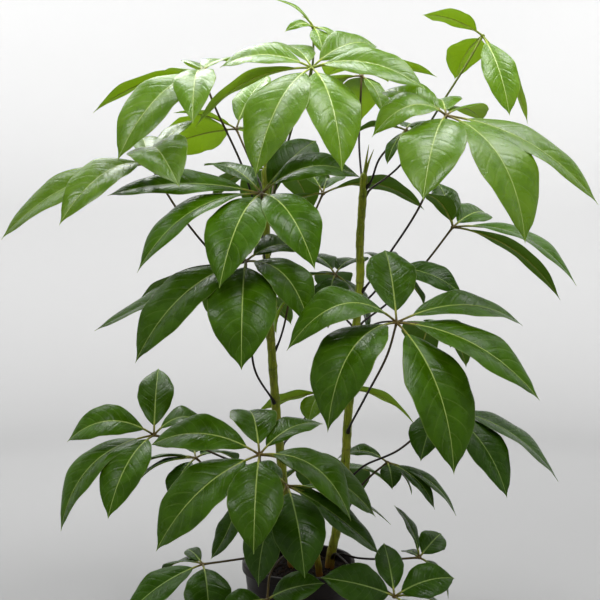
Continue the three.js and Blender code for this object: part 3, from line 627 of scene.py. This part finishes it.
def leaflet_skins(hub, row, index, age):
    """The rib and the blade of a leaflet. Its midrib is a parabola from hub to tip. The blade's rings cross
    it: folded up from the midrib, curling down to the margin, with waves that grow towards the margin and a
    swelling between each two side veins. The upper and the under face meet in a sharp margin."""
    right, back, rise, half_width, arch, roll = row
    reach = np.array([right, back, rise], float)
    along = unit(reach)
    upright = unit(np.array([0, 0, 1.0]) - along[2] * along)
    turn = math.radians(roll)
    normal = upright * math.cos(turn) + np.cross(along, upright) * math.sin(turn)
    hub = np.array(hub, float)

    def midrib_at(s):
        """Place, heading and upward direction of the midrib at shares of the way from hub to tip."""
        place = hub + reach * s[:, None] + normal * (4 * arch * s * (1 - s))[:, None]
        tangent = unit(reach + normal * (4 * arch * (1 - 2 * s))[:, None])
        top = unit(normal - (tangent @ normal)[:, None] * tangent)
        return place, tangent, top

    u = (1 - np.cos(np.pi * np.linspace(0.02, 0.99, blade_rows))) / 2
    place, tangent, top = midrib_at(rib_share + (1 - rib_share) * u)
    side = np.cross(tangent, top)
    w = np.linspace(-1, 1, blade_columns)
    v = np.sign(w) * (1 - np.cos(np.pi * np.abs(w))) / 2
    width = half_width * outline(u)
    ragged = np.sin(u[:, None] * 19 + 5 * age + index + 2 * np.sign(v)) + np.sin(u[:, None] * 37 + 9 * age)
    breadth = width[:, None] * (1 + margin_wander * ragged * v ** 2)
    phase = side_veins * (u[:, None] - vein_lean * np.abs(v) - vein_bow * v ** 2) + 0.5
    phase = phase + vein_stagger * np.sign(v)
    fold = width[:, None] * (blade_fold * (np.sqrt(v ** 2 + fold_softness) - fold_rest) - blade_curl * v ** 2)
    waves = (wave_height * half_width * np.sin(np.pi * u)[:, None] * v ** 2
             * np.sin(2 * np.pi * wave_turns * u[:, None] + wave_step * index + wave_split * np.sign(v)))
    swelling = vein_lift * np.sin(np.pi * phase) ** 2 * np.clip(4 * np.abs(v) * (1 - np.abs(v)), 0, 1)
    lift = fold + waves + swelling * np.clip(width / 20, 0, 1)[:, None]
    half = blade_thickness / 2 * np.sqrt(1 - v ** 2)
    middle = place[:, None] + side[:, None] * (breadth * v)[..., None]
    upper = middle + top[:, None] * (lift + half)[..., None]
    under = middle + top[:, None] * (lift - half)[..., None]

    def both(over, below):
        """Each row of the upper face, and back along the under face, without the two margins again."""
        return np.concatenate([over, below[:, -2:0:-1]], axis=1)

    rows = np.broadcast_to(u[:, None], lift.shape)
    columns = np.broadcast_to(v, lift.shape)
    rib_half = midrib_half * (1 - midrib_taper * u)
    ratio = width[:, None] * v / rib_half[:, None]
    lamina = np.stack([columns, rows], axis=2)
    veining = np.stack([phase, ratio], axis=2)
    face = np.stack([np.ones_like(lift), np.full_like(lift, age)], axis=2)
    beneath = face * (0, 1)
    blade = skin(both(upper, under), lamina=both(lamina, lamina), veining=both(veining, veining),
                 leaflet=both(face, beneath))

    s = np.linspace(0.2 * hub_radius / np.linalg.norm(reach), 0.96, rib_rows)
    place, tangent, top = midrib_at(s)
    share = np.clip((s - rib_share) / (1 - rib_share), 0, 1)
    swollen = 1 + 0.35 * np.exp(-(s * 26) ** 2) + 0.15 * np.exp(-((s - 0.1) * 40) ** 2)
    radius = rib_radius * (1 - rib_taper * share) * swollen
    sunk = np.clip(share * 12, 0, 1) * (radius - 0.15)
    path = place - top * sunk[:, None]
    rib = round_stem(path, radius, ribs_around, np.cross(along, normal), lamina=(0 * s, 1 + s),
                     veining=(0 * s, 0 * s), leaflet=(0 * s, 0 * s + 0.5))
    return [(rib, 0), (blade, 1)]


def stalk_skins(cane_name, height, route, hub):
    """The stalk, a curve from its clasping foot in the cane's bark through the route to the hub, thicker at
    both ends, and the hub, a ball squashed to a squat knuckle."""
    cane = canes[cane_name]
    axis = curve_through(cane["axis"], step=2)
    centre = np.array([np.interp(height, axis[:, 2], axis[:, k]) for k in range(3)])
    ahead = np.array([np.interp(height + 2, axis[:, 2], axis[:, k]) for k in range(3)])
    along = unit(ahead - centre)
    facing = np.array(route[0]) - centre
    facing = unit(facing - (facing @ along) * along)
    bark = cane["foot"] + (cane["top"] - cane["foot"]) * (height - cane["axis"][0][2]) / (
        cane["axis"][-1][2] - cane["axis"][0][2])
    foot = centre + facing * (bark - stalk_bury) - along * stalk_bury
    clear = centre + facing * (bark + stalk_clear) + along * stalk_rise
    path = curve_through([foot, clear, *route, hub], step=stalk_step)
    share = np.linspace(0, 1, len(path))
    run = share * np.linalg.norm(np.diff(path, axis=0), axis=1).sum()
    radius = stalk_radius + (stalk_foot_radius - stalk_radius) * np.exp(-(run / stalk_foot_reach) ** 2)
    radius = radius + hub_swell * np.exp(-((run[-1] - run) / hub_reach) ** 2)
    chord = unit(path[-1] - path[0])
    guide = unit(np.cross(chord, (0.3, 1, 0.1)))
    empty = 0 * share
    stalk = round_stem(path, radius, stalks_around, guide, lamina=(empty, 0.98 * share),
                       veining=(empty, empty), leaflet=(empty, empty + 0.5))
    polar = np.linspace(-0.97, 0.97, 9)
    knuckle = np.array(hub) + np.stack([0 * polar, 0 * polar, hub_radius * hub_squash * polar], axis=1)
    girth = hub_radius * np.sqrt(1 - polar ** 2)
    empty = 0 * polar
    hub_skin = round_stem(knuckle, girth, stalks_around, np.array([1.0, 0, 0]), lamina=(empty, empty + 0.99),
                          veining=(empty, empty), leaflet=(empty, empty + 0.5))
    return [(stalk, 0), (hub_skin, 0)]


def umbrella_leaf(name, finish, cane_name, height, route, hub, leaflets, age=0.5, stalk=None):
    """One leaf. It leaves its cane at a height, passes the points of its route and spreads its leaflets at
    the hub. Each leaflet is (right, back, up) from hub to tip, half-width, arch of the midrib and roll in
    degrees. An age from 0 to 1 darkens the blades, each a little differently."""
    dice = np.random.default_rng(sum(map(ord, name)))
    skins = stalk_skins(cane_name, height, route, hub)
    for index, row in enumerate(leaflets):
        skins += leaflet_skins(hub, row, index, age + dice.uniform(-age_spread, age_spread))
    mesh_piece(name + ".leaf", skins, [stalk or dark_stalk, finish["blade"]], finish["slot"], [name])


dark_stalk = leaf_stalk("dark_stalk", low="#1a0f06", middle="#5a4a1c", high="#97a038")
green_stalk = leaf_stalk("green_stalk", low="#2b200a", middle="#758420", high="#b0bf46")
fresh_leaf = {"slot": "foliage_fresh", "blade": waxy_blade(
    "young_leaf", deep="#4b7009", light="#638610", under="#82a022", vein="#c0d17c", glow="#cce606",
    through=0.36, gloss=0.55)}
umbrella_leaf(
    "leaf_young_top", fresh_leaf, "cane_left", 862, [(-20, 6, 935), (22, 2, 1040)], (26, 10, 1120),
    [(-65, -30, 40, 9, 10, -40), (-50, -30, -14, 11, 12, -45), (16, -36, -52, 17, 8, 10),
     (40, -8, -30, 13, 10, 25), (-20, 10, 22, 5, 3, 0)], age=0.2, stalk=green_stalk)
umbrella_leaf(
    "leaf_top_right", fresh_leaf, "cane_right", 832,
    [(180, 34, 885), (266, 26, 1015), (295, 20, 1062)], (321, 20, 1108),
    [(-112, -50, 24, 30, 12, 8), (-34, 90, -60, 35, 15, 6), (36, -60, -146, 32, 16, 20),
     (78, -10, -153, 28, 12, -10)], age=0.15, stalk=green_stalk)
umbrella_leaf(
    "leaf_crown", fresh_leaf, "cane_left", 812,
    [(-22, -24, 905), (-8, -42, 950), (8, -62, 990)], (22, -80, 1035),
    [(-88, -120, -187, 50, 37, -15), (45, -120, -179, 44, 35, 5), (180, -60, -45, 38, 30, 42),
     (215, 60, -5, 36, 18, 0), (112, 60, 46, 36, 24, 40), (-60, 120, 57, 34, 15, 0),
     (-155, 40, 7, 36, 24, -38), (-190, -20, -100, 34, 30, 10)], age=0.4, stalk=green_stalk)
umbrella_leaf(
    "leaf_crown_left", fresh_leaf, "cane_left", 790, [(-99, -16, 885), (-142, -36, 979)], (-161, -60, 1032),
    [(-182, 0, -68, 34, 18, 4), (-120, -120, -158, 42, 35, -28), (-80, 110, -15, 32, 14, 0),
     (-20, 130, 24, 32, 14, 0), (48, 110, 34, 30, 12, 0), (2, -160, -106, 33, 30, 4)], age=0.5)
umbrella_leaf(
    "leaf_crown_right", fresh_leaf, "cane_right", 665,
    [(155, -30, 728), (203, -60, 808), (232, -95, 890)], (238, -120, 952),
    [(-54, -140, -143, 52, 28, -4), (102, -120, -206, 58, 46, 10), (235, -40, -145, 44, 31, 30),
     (84, 140, 8, 34, 18, 0), (5, 150, 40, 36, 16, 0), (-97, 100, 52, 32, 16, -30),
     (-122, -30, -38, 36, 38, -38)], age=0.65)
umbrella_leaf(
    "leaf_back_left_high", fresh_leaf, "cane_left", 835, [(-80, 40, 880)], (-113, 80, 954),
    [(-150, 50, -34, 44, 15, 45), (-110, -30, 25, 28, 10, 0), (58, 80, 110, 36, 12, 0),
     (60, 140, -20, 36, 15, 0)], age=0.1)
umbrella_leaf(
    "leaf_left_high", fresh_leaf, "cane_left", 655,
    [(-110, -40, 690), (-160, -60, 747), (-200, -70, 800)], (-250, -60, 880),
    [(-250, 0, -127, 42, 32, -38), (-118, -140, -106, 37, 38, -25), (72, -170, -50, 48, 46, 20),
     (60, 150, 92, 22, 12, 0), (-40, 150, 60, 28, 14, 0)], age=0.85)
umbrella_leaf(
    "leaf_back_right_high", fresh_leaf, "cane_right", 850, [(108, 50, 930)], (114, 80, 1049),
    [(35, -40, -75, 24, 12, 0), (60, 130, 10, 38, 20, 0), (-60, 130, 20, 38, 20, 0),
     (10, 160, -60, 38, 20, 0), (-90, 60, -40, 32, 16, 0)], age=0.4)
umbrella_leaf(
    "leaf_small_middle", fresh_leaf, "cane_left", 560, [(-26, 14, 600)], (-15, 24, 656),
    [(18, 20, -38, 18, 8, 0), (-25, 15, -72, 20, 8, -20), (30, 70, 20, 20, 8, 0)], age=0.4)
umbrella_leaf(
    "leaf_back_low", fresh_leaf, "cane_left", 380, [(0, 70, 410)], (44, 110, 469),
    [(-121, 0, -38, 34, 8, 25), (-25, -40, -50, 26, 10, 0), (171, -30, -57, 34, 30, -22),
     (40, 160, -15, 36, 20, 0)])


# ---- full-grown leaves of the middle ----
# The largest leaves, last season's, spread from both canes at all heights, most of them in the middle. They
# are deep green and glossy above, with a clear pale midrib.

full_leaf = {"slot": "foliage_full", "blade": waxy_blade(
    "full_leaf", deep="#304f01", light="#3f6402", under="#587f18", vein="#9eb25c", glow="#8fa604",
    through=0.2, gloss=0.18)}
umbrella_leaf(
    "leaf_inner_right_high", full_leaf, "cane_right", 845, [(140, -10, 893)], (184, -20, 940),
    [(-36, -45, -62, 14, 8, 0), (-90, 30, -5, 28, 14, 0), (30, 90, 10, 28, 12, 0),
     (70, -10, -60, 28, 14, 0)])
umbrella_leaf(
    "leaf_right_high", full_leaf, "cane_right", 600, [(160, 44, 640), (220, 40, 704)], (269, 0, 775),
    [(200, -60, -100, 40, 38, 14), (200, 40, -130, 25, 32, -16), (75, 80, 24, 32, 16, 30),
     (-57, -50, 56, 26, 14, 0), (-18, 70, 82, 26, 10, 0)], age=0.3)
umbrella_leaf(
    "leaf_back_high", full_leaf, "cane_left", 730, [(0, 40, 750)], (44, 60, 836),
    [(188, 40, -28, 36, 36, -15), (-60, 120, 60, 34, 16, 0), (20, 150, 30, 34, 16, 0),
     (-100, 80, -60, 34, 20, 0)])
umbrella_leaf(
    "leaf_front_high", full_leaf, "cane_left", 690, [(-60, -90, 760)], (-59, -130, 826),
    [(-248, 0, -3, 42, 20, -30), (-186, -90, -124, 44, 38, -14), (-57, -140, -146, 46, 34, -10),
     (84, -110, -119, 42, 36, 20), (90, 125, 98, 36, 16, 32), (163, 30, 26, 38, 38, 36),
     (-105, 125, 55, 34, 18, -5)], age=0.35)
umbrella_leaf(
    "leaf_front_left_middle", full_leaf, "cane_left", 470,
    [(-74, -56, 532), (-80, -112, 630)], (-84, -150, 718),
    [(-244, 10, -112, 41, 6, -18), (-162, -90, -152, 49, 36, -24), (0, -120, -159, 53, 36, 0),
     (102, -70, -103, 40, 42, 20), (98, 72, 10, 32, 24, 25), (-190, 105, -72, 36, 14, 0),
     (-32, 130, 8, 26, 14, 0)], age=0.75)
umbrella_leaf(
    "leaf_front_right_middle", full_leaf, "cane_right", 418,
    [(110, -90, 488), (140, -180, 573)], (150, -220, 626),
    [(-167, -50, -38, 44, 58, -28), (-108, -110, -148, 54, 54, -8), (72, -110, -209, 56, 36, 4),
     (205, -60, -110, 44, 32, 25), (206, 60, -10, 40, 34, 25), (-8, 125, 110, 40, 16, 0)])
umbrella_leaf(
    "leaf_left_low", full_leaf, "cane_left", 330, [(-127, -24, 373), (-186, -36, 401)], (-249, -40, 417),
    [(-6, 100, 103, 32, 14, 0), (-145, -20, -8, 35, 47, -40), (-145, -70, -147, 41, 48, -14),
     (-57, -120, -113, 39, 32, -10), (95, 30, 0, 32, 33, 20)])
umbrella_leaf(
    "leaf_front_low", full_leaf, "cane_left", 250, [(-58, -90, 300), (-60, -170, 380)], (-60, -210, 420),
    [(-172, 20, 10, 38, 36, -34), (-151, -70, -130, 47, 34, -28), (-4, -115, -120, 42, 28, 0),
     (139, -50, -90, 42, 42, 15), (180, 0, -98, 38, 30, 30), (-26, 120, 46, 38, 26, 0),
     (100, 85, 32, 32, 20, 10)], age=0.6)


# ---- old leaves round the pot ----
# The lowest and inner leaves stand in the shade of the others. They are smaller, with the least light coming
# through, and the darkest green: partly the own colour of old leaves, partly painted shade.

deep_leaf = {"slot": "foliage_deep", "blade": waxy_blade(
    "old_leaf_painted_shade", deep="#284604", light="#345606", under="#466c16", vein="#88a052", glow="#6c8606",
    through=0.18, gloss=0.18)}
umbrella_leaf(
    "leaf_right_middle_small", deep_leaf, "cane_right", 640, [(135, -6, 665)], (159, -10, 702),
    [(122, -30, -44, 34, 18, 32), (62, 20, -66, 30, 12, 10), (-20, 120, 20, 30, 14, 0)])
umbrella_leaf(
    "leaf_back_middle", deep_leaf, "cane_right", 590, [(80, 60, 620)], (68, 110, 689),
    [(-15, -70, -95, 38, 22, 0), (-60, 110, 30, 34, 16, 0), (60, 90, 20, 34, 16, 0),
     (0, 170, -60, 38, 24, 0), (60, 0, -112, 36, 20, 20), (-110, 60, -50, 36, 20, 0)])
umbrella_leaf(
    "leaf_right_low", deep_leaf, "cane_right", 330, [(116, -6, 356), (175, -30, 390)], (247, -60, 466),
    [(196, 0, -125, 42, 28, 16), (92, -80, -132, 42, 25, 12), (-50, -90, -70, 34, 16, 0),
     (45, 130, -35, 36, 20, 0)])
umbrella_leaf(
    "leaf_right_low_small", deep_leaf, "cane_right", 270, [(104, 4, 308), (130, 8, 336)], (158, 10, 358),
    [(-90, 30, -2, 26, 20, -10), (5, -45, -36, 19, 8, 0), (83, -10, -82, 21, 18, 25),
     (45, 15, -62, 18, 10, 20), (126, 20, -102, 19, 22, 25)])
umbrella_leaf(
    "leaf_back_left_low", deep_leaf, "cane_left", 235, [(-70, 66, 262), (-134, 86, 302)], (-188, 60, 355),
    [(-127, 0, -27, 26, 16, 10), (-114, -20, -54, 24, 20, 5), (-37, -45, -72, 28, 14, 0),
     (-30, 130, -10, 34, 18, 0), (70, 100, -30, 32, 16, 0)])
umbrella_leaf(
    "leaf_left_low_small", deep_leaf, "cane_left", 262, [(-66, 8, 280)], (-106, 10, 301),
    [(-48, -30, -108, 27, -10, -10), (-60, 10, -20, 24, 10, 20), (8, 50, -40, 20, 8, 0)])
umbrella_leaf(
    "leaf_front_low_inner", deep_leaf, "cane_low", 275, [(-10, -96, 315)], (-18, -130, 351),
    [(28, -105, -118, 43, 26, 5), (-45, -60, -147, 38, 24, -5), (65, 30, -62, 26, 14, -20),
     (171, 20, -70, 22, 20, 0), (150, -20, -108, 38, 10, 14), (-90, 70, 10, 32, 18, 0)])
umbrella_leaf(
    "leaf_right_base", deep_leaf, "cane_right", 189, [(105, -4, 190), (160, -14, 191)], (212, -20, 196),
    [(-41, 40, 82, 22, 10, 20), (47, 60, 25, 25, 8, 30), (-25, 50, -5, 14, 5, 0),
     (50, -10, -70, 26, 14, 0)])
umbrella_leaf(
    "leaf_front_right_base", deep_leaf, "cane_right", 192,
    [(90, -64, 194), (125, -112, 186)], (156, -150, 174),
    [(-121, -45, 47, 33, 16, -60), (-11, 80, 64, 24, 8, 0), (100, 15, 25, 30, 24, 45),
     (105, 40, -55, 22, 18, 0), (50, -80, -60, 32, 18, 0)])
umbrella_leaf(
    "leaf_front_base", deep_leaf, "cane_low", 222, [(-10, -92, 232), (-44, -134, 212)], (-50, -170, 176),
    [(92, -20, 34, 26, 14, 45), (-75, -15, -20, 26, 14, -40), (10, -70, -90, 34, 18, 0),
     (-60, -50, -80, 32, 16, -10)])
umbrella_leaf(
    "leaf_left_base", deep_leaf, "cane_left", 191, [(-104, -10, 190)], (-168, -20, 184),
    [(-131, -45, -80, 36, 16, -22), (20, -95, -95, 40, 32, 0), (-36, 70, 4, 14, 8, -20),
     (-80, 70, -40, 28, 14, 0)])


# ---- leaves at the back ----
# Four more leaves fill the side that is turned away, so that the plant is round from above. They grew like
# the full-grown and the old leaves in front.

umbrella_leaf(
    "leaf_rear_high", full_leaf, "cane_left", 775, [(-50, 110, 830)], (-45, 190, 890),
    [(-130, 80, -60, 38, 26, 0), (-50, 150, -90, 42, 30, 0), (70, 140, -80, 42, 30, 0),
     (110, 60, -30, 36, 24, 0)])
umbrella_leaf(
    "leaf_rear_middle", full_leaf, "cane_left", 590, [(-90, 110, 612)], (-115, 190, 640),
    [(-130, 60, -40, 38, 28, 0), (-60, 135, -60, 42, 30, 0), (20, 150, -110, 42, 30, 0),
     (100, 100, -60, 38, 24, 0)])
umbrella_leaf(
    "leaf_rear_right", full_leaf, "cane_right", 562, [(140, 70, 600)], (256, 190, 590),
    [(78, 40, -90, 34, 20, 0), (60, 125, -60, 40, 26, 0), (-10, 140, -70, 40, 26, 0),
     (-10, 70, -110, 34, 20, 0)])
umbrella_leaf(
    "leaf_rear_low", deep_leaf, "cane_right", 215, [(70, 110, 250)], (60, 190, 300),
    [(-110, 70, -60, 36, 26, 0), (-40, 140, -80, 40, 30, 0), (70, 130, -80, 40, 30, 0),
     (130, 50, -50, 36, 24, 0)])


# ---- studio ----
# A round cove of pale paper, flat under the pot and curving up into a wall all round, lit by soft boxes from
# above. The camera stands level with the leaves at the photograph's viewing angle. Boxes and camera have
# their places in metres.

cove_floor_radius = 2300
cove_bend = 900
cove_height = 3600
cove_around = 96
cove_below_pot = 0.5
air_light = 0.36
camera_place = (0.0026, -1.7, 0.745)
camera_tilt_down = 3.27
focal_pixels = 973
picture_pixels = 600
sensor_width = 36


def studio_paper():
    """Seamless matt paper. Its colour is painted light and shade: mid grey under the pot, lightening across
    the floor, and pale grey up the wall.
    """
    material, tree = new_finish("studio_paper")
    run = add(tree, "SeparateXYZ", {0: add(tree, "UVMap", uv_map="run").outputs[0]}).outputs["X"]
    # Painted shade: the floor is darkest under the pot and lightens away from it.
    away = add(tree, "MapRange", {0: run, 1: 0.3, 2: 1.9}).outputs[0]
    # Painted light: the paper turns pale grey up the wall.
    up = add(tree, "MapRange", {0: run, 1: 2.0, 2: 4.3}, interpolation_type="SMOOTHSTEP").outputs[0]
    floor = add(tree, "Mix", {0: away, 6: linear("#8f8f8f"), 7: linear("#a2a2a2")},
                data_type="RGBA").outputs[2]
    colour = add(tree, "Mix", {0: up, 6: floor, 7: linear("#dbdbdb")}, data_type="RGBA").outputs[2]
    shader = add(tree, "BsdfPrincipled", {"Base Color": colour, "Roughness": 0.9, "Specular IOR Level": 0.1})
    add(tree, "OutputMaterial", {"Surface": shader.outputs[0]})
    return material


def cove():
    """The cove's sheet: a profile of wall, quarter bend and floor, turned about the plant, lit face inwards
    and open at the top. Each point keeps its run in metres along the paper, from the middle of the floor."""
    bend = np.linspace(np.pi / 2, 0, 16)
    wall = cove_floor_radius + cove_bend
    profile = [(wall, cove_height)] + [
        (cove_floor_radius + cove_bend * math.sin(a), cove_bend * (1 - math.cos(a))) for a in bend]
    profile += [(r, 0) for r in np.linspace(cove_floor_radius - 100, pole_ring, 24)]
    profile = np.array(profile) - (0, cove_below_pot)
    steps = np.linalg.norm(np.diff(profile, axis=0), axis=1)
    run = np.concatenate([np.cumsum(steps[::-1])[::-1], [0]]) / 1000
    rings = turned(profile, cove_around)
    grid = np.stack([np.broadcast_to(run[:, None], rings.shape[:2])] * 2, axis=2)
    sheet = skin(rings, run=grid)
    sheet["fans"] = sheet["fans"][len(rings[0]):]
    mesh_piece("cove", [(sheet, 0)], [studio_paper()], None, [])


def soft_box(name, place, aim, size, watts):
    """A square soft light aimed at a point, turned and tipped by the angles of the way to it. The camera
    doesn't see it."""
    light = bpy.data.lights.new(name, "AREA")
    light.shape = "SQUARE"
    light.size = size
    light.energy = watts
    lamp = bpy.data.objects.new(name, light)
    lamp.location = place
    towards = np.array(aim) - np.array(place)
    yaw = math.atan2(towards[0], -towards[1])
    pitch = math.atan2(np.hypot(towards[0], towards[1]), -towards[2])
    lamp.rotation_euler = (pitch, 0, yaw + math.pi)
    lamp.visible_camera = False
    bpy.context.scene.collection.objects.link(lamp)


cove()
soft_box("front_box", (-0.35, -1.5, 2.0), (0, 0, 0.6), 0.5, 15)
soft_box("right_box", (0.8, -0.45, 2.5), (0, 0, 0.8), 0.8, 28)
soft_box("top_box", (-0.1, 0.5, 2.6), (0, 0, 0.7), 0.7, 20)
soft_box("back_box", (-0.7, 1.4, 2.5), (0, 0, 0.9), 0.8, 24)
soft_box("left_wall_box", (-1.7, 0.8, 3.3), (-0.7, 3.1, 1.9), 1.2, 54)
soft_box("right_wall_box", (1.7, 0.8, 3.3), (0.7, 3.1, 1.9), 1.2, 50)

world = bpy.data.worlds.new("studio_air")
bpy.context.scene.world = world
world.use_nodes = True
world.node_tree.nodes["Background"].inputs["Color"].default_value = linear("#ffffff")
world.node_tree.nodes["Background"].inputs["Strength"].default_value = air_light

camera = bpy.data.objects.new("camera", bpy.data.cameras.new("camera"))
bpy.context.scene.collection.objects.link(camera)
camera.location = camera_place
camera.rotation_euler = (math.radians(90 - camera_tilt_down), 0, 0)
camera.data.sensor_width = sensor_width
camera.data.lens = focal_pixels / picture_pixels * sensor_width
bpy.context.scene.camera = camera
bpy.context.scene.view_settings.view_transform = "Standard"
